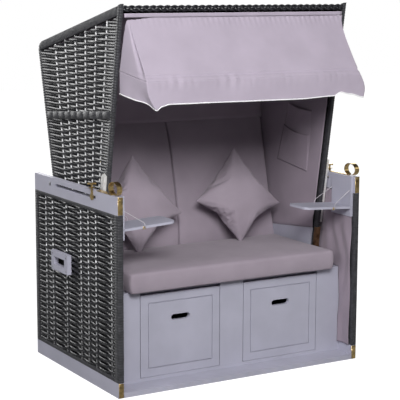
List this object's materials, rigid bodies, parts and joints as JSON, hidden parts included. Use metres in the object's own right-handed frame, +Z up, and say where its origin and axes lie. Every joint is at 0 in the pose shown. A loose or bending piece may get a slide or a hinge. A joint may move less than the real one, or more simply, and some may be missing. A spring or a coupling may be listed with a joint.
{
  "type": "hooded_beach_chair",
  "caption": "Two-seat hooded beach chair: woven base with painted wood, pull-out footrests, fold-up trays, tipping hood with awning, cushions and pillows.",
  "frame": {"origin": "centre of the bounding box's bottom, on the floor", "axes": "+X across the seat, to the right as seen from the front; +Y towards the back; +Z up"},
  "size_m": [1.2226, 0.9418, 1.562],
  "materials": {
    "painted_wood": "painted grey-lilac wood",
    "rattan": "flat extruded polyethylene strand, black, slightly glossy",
    "cushion_fabric": "plain woven polyester, mauve grey",
    "awning_fabric": "coated polyester, pale mauve grey",
    "brass": "brass-plated steel",
    "steel": "zinc-plated steel",
    "cord": "thin braided cord"
  },
  "bodies": {
    "base": {"plinth_front": "painted_wood", "plinth_back": "painted_wood", "plinth_left": "painted_wood", "plinth_right": "painted_wood", "floor_board": "painted_wood", "centre_divider": "painted_wood", "bay_stile_left": "painted_wood", "bay_stile_right": "painted_wood", "seat_board": "painted_wood", "armrest_left": "painted_wood", "armrest_right": "painted_wood", "tray_panel_left": "painted_wood", "tray_panel_right": "painted_wood", "carry_handle_left": "painted_wood", "carry_handle_right": "painted_wood", "base_side_frame_left": "rattan", "base_side_frame_right": "rattan", "base_side_weave_left": "rattan", "base_side_weave_right": "rattan", "base_back_weave": "rattan", "base_side_lining_left": "cushion_fabric", "base_side_lining_right": "cushion_fabric", "tray_cord_left": "cord", "tray_cord_right": "cord", "seat_cushion": "cushion_fabric"},
    "hood": {"hood_side_frame_left": "rattan", "hood_side_frame_right": "rattan", "hood_side_weave_left": "rattan", "hood_side_weave_right": "rattan", "hood_back_weave": "rattan", "roof_weave": "rattan", "roof_front_rail": "rattan", "hood_lining": "cushion_fabric", "hood_side_lining_left": "cushion_fabric", "hood_side_lining_right": "cushion_fabric", "hood_side_board_left": "painted_wood", "hood_side_board_right": "painted_wood", "pivot_strap_left": "brass", "pivot_strap_right": "brass", "latch_plate_left": "steel", "latch_plate_right": "steel", "back_cushion": "cushion_fabric", "awning_cloth": "awning_fabric"},
    "awning": {"awning_rod": "steel"},
    "valance": {"awning_valance": "awning_fabric"},
    "footrest_left": {"footrest_front_left": "painted_wood", "footrest_box_left": "painted_wood", "footrest_top_left": "painted_wood"},
    "tray_left": {"tray_left": "painted_wood"},
    "clamp_left": {"recline_clamp_left": "brass"},
    "release_left": {"release_handle_left": "brass"},
    "pillow_left": {"pillow_left": "cushion_fabric"},
    "footrest_right": {"footrest_front_right": "painted_wood", "footrest_box_right": "painted_wood", "footrest_top_right": "painted_wood"},
    "tray_right": {"tray_right": "painted_wood"},
    "clamp_right": {"recline_clamp_right": "brass"},
    "release_right": {"release_handle_right": "brass"},
    "pillow_right": {"pillow_right": "cushion_fabric"}
  },
  "joints": [
    {"name": "hood_recline", "type": "hinge", "parent": "base", "child": "hood", "pos_m": [0, -0.13222, 0.44], "axis": [-1, 0, 0], "range_deg": [0, 40]},
    {"name": "awning_tilt", "type": "hinge", "parent": "hood", "child": "awning", "pos_m": [0, -0.26264, 1.3], "axis": [-1, 0, 0], "range_deg": [0, 60], "deforming": ["awning_cloth"]},
    {"name": "valance_hang", "type": "hinge", "parent": "awning", "child": "valance", "pos_m": [0, -0.45995, 1.268], "axis": [1, 0, 0], "range_deg": [0, 60]},
    {"name": "footrest_left_slide", "type": "slide", "parent": "base", "child": "footrest_left", "axis": [0, -1, 0], "range_m": [0, 0.3]},
    {"name": "tray_left_fold", "type": "hinge", "parent": "base", "child": "tray_left", "pos_m": [-0.5527, -0.28672, 0.685], "axis": [0, -1, 0], "range_deg": [0, 86], "deforming": ["tray_cord_left"]},
    {"name": "clamp_left_slide", "type": "slide", "parent": "base", "child": "clamp_left", "axis": [0, 1, 0], "range_m": [0, 0.285]},
    {"name": "release_left_lift", "type": "hinge", "parent": "base", "child": "release_left", "pos_m": [-0.578, -0.18522, 0.8163], "axis": [-1, 0, 0], "range_deg": [0, 20]},
    {"name": "pillow_left_slide", "type": "slide", "parent": "hood", "child": "pillow_left", "axis": [0, 0.2325, 0.9726], "range_m": [0, 0.21]},
    {"name": "footrest_right_slide", "type": "slide", "parent": "base", "child": "footrest_right", "axis": [0, -1, 0], "range_m": [0, 0.3]},
    {"name": "tray_right_fold", "type": "hinge", "parent": "base", "child": "tray_right", "pos_m": [0.5527, -0.28672, 0.685], "axis": [0, 1, 0], "range_deg": [0, 86], "deforming": ["tray_cord_right"]},
    {"name": "clamp_right_slide", "type": "slide", "parent": "base", "child": "clamp_right", "axis": [0, 1, 0], "range_m": [0, 0.285]},
    {"name": "release_right_lift", "type": "hinge", "parent": "base", "child": "release_right", "pos_m": [0.578, -0.18522, 0.8163], "axis": [-1, 0, 0], "range_deg": [0, 20]},
    {"name": "pillow_right_slide", "type": "slide", "parent": "hood", "child": "pillow_right", "axis": [0, 0.2325, 0.9726], "range_m": [0, 0.21]}
  ],
  "couplings": [
    {"joint": "valance_hang", "follows": "awning_tilt", "ratio": 1},
    {"joint": "clamp_left_slide", "follows": "hood_recline", "m_per_rad": 0.405},
    {"joint": "pillow_left_slide", "follows": "hood_recline", "m_per_rad": 0.3},
    {"joint": "clamp_right_slide", "follows": "hood_recline", "m_per_rad": 0.405},
    {"joint": "pillow_right_slide", "follows": "hood_recline", "m_per_rad": 0.3}
  ]
}
